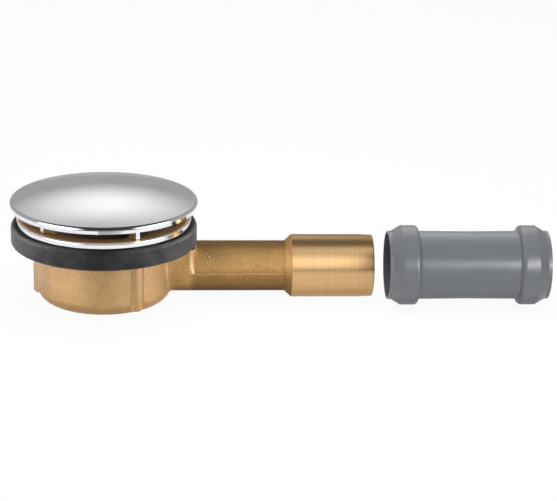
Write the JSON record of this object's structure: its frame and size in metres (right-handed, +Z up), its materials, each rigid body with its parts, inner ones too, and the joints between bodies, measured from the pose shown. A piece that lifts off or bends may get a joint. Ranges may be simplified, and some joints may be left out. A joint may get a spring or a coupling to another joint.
{
  "type": "shower waste",
  "caption": "Low shower waste: cast brass cup with side outlet spigot, rubber tray gasket, clamp flange, domed cover over an inlet slot, and a loose push-fit coupling.",
  "frame": {"origin": "on the cup's axis, at the plane that the cup stands on", "axes": "+X along the outlet towards the coupling, +Z up through the cover"},
  "size_m": [0.3402, 0.1182, 0.0717],
  "materials": {
    "cast_brass": "sand cast, spigot turned",
    "black_rubber": "matte",
    "chrome": "polished",
    "stainless": "satin",
    "trap_plastic": "satin",
    "grey_plastic": "satin"
  },
  "bodies": {
    "root": {"waste_body": "cast_brass", "tray_gasket": "black_rubber", "flange_seal": "black_rubber", "clamp_flange": "chrome", "clamp_screws": "stainless", "dip_tube": "trap_plastic", "dip_tube_o_ring": "black_rubber", "trap_cup": "trap_plastic", "cover_carrier": "chrome", "dome_cover": "chrome", "coupling_sleeve": "grey_plastic", "coupling_seal_inlet": "black_rubber", "coupling_seal_outlet": "black_rubber"}
  },
  "joints": []
}
